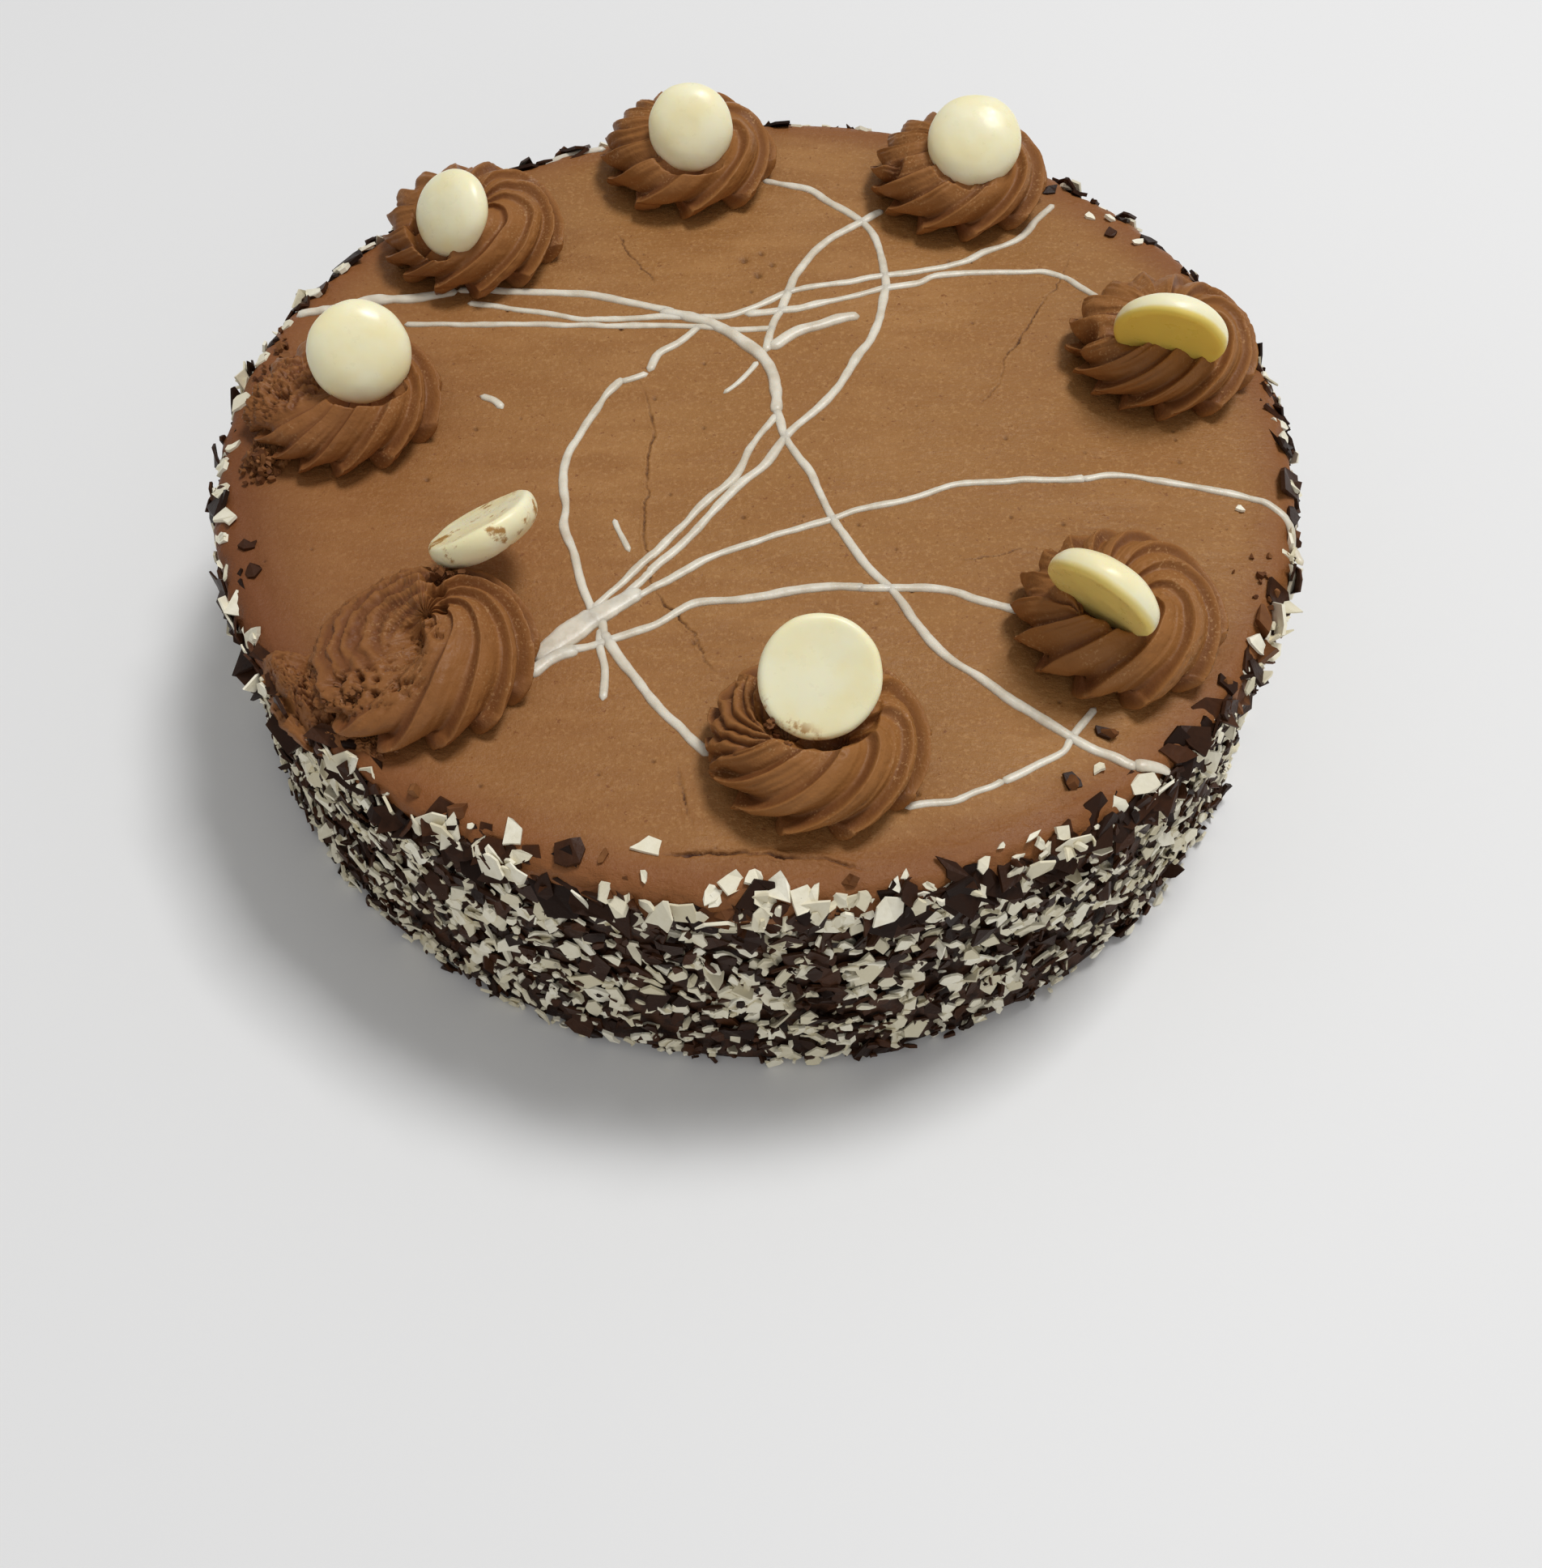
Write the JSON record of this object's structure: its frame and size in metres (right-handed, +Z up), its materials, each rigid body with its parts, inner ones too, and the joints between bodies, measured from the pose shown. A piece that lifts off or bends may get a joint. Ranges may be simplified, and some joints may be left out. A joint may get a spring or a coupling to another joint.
{
  "type": "layer cake",
  "caption": "Whole round chocolate cream cake with a flake-coated side, thin white drizzle, and a ring of piped rosettes, each with a white button standing in it.",
  "frame": {"origin": "centre of the cake's flat underside", "axes": "+Z up, -Y towards the front, where the camera of the picture stands, +X to the right as seen from there"},
  "size_m": [0.2243, 0.2237, 0.0865],
  "materials": {
    "side": "chocolate cream thickly coated with white and dark chocolate flakes",
    "cream": "smooth milk chocolate cream with fine pits and cracks, and pinkish white drizzle",
    "rosette": "piped chocolate cream with a soft satin sheen",
    "button": "white chocolate, satin on the dome and matte on the flat face"
  },
  "bodies": {
    "root": {"cake_body": "side", "cream_top": "cream", "rosette_1": "rosette", "rosette_2": "rosette", "rosette_3": "rosette", "rosette_4": "rosette", "rosette_5": "rosette", "rosette_6": "rosette", "rosette_7": "rosette", "rosette_8": "rosette", "button_1": "button", "button_2": "button", "button_3": "button", "button_4": "button", "button_5": "button", "button_6": "button", "button_7": "button", "button_8": "button"}
  },
  "joints": []
}
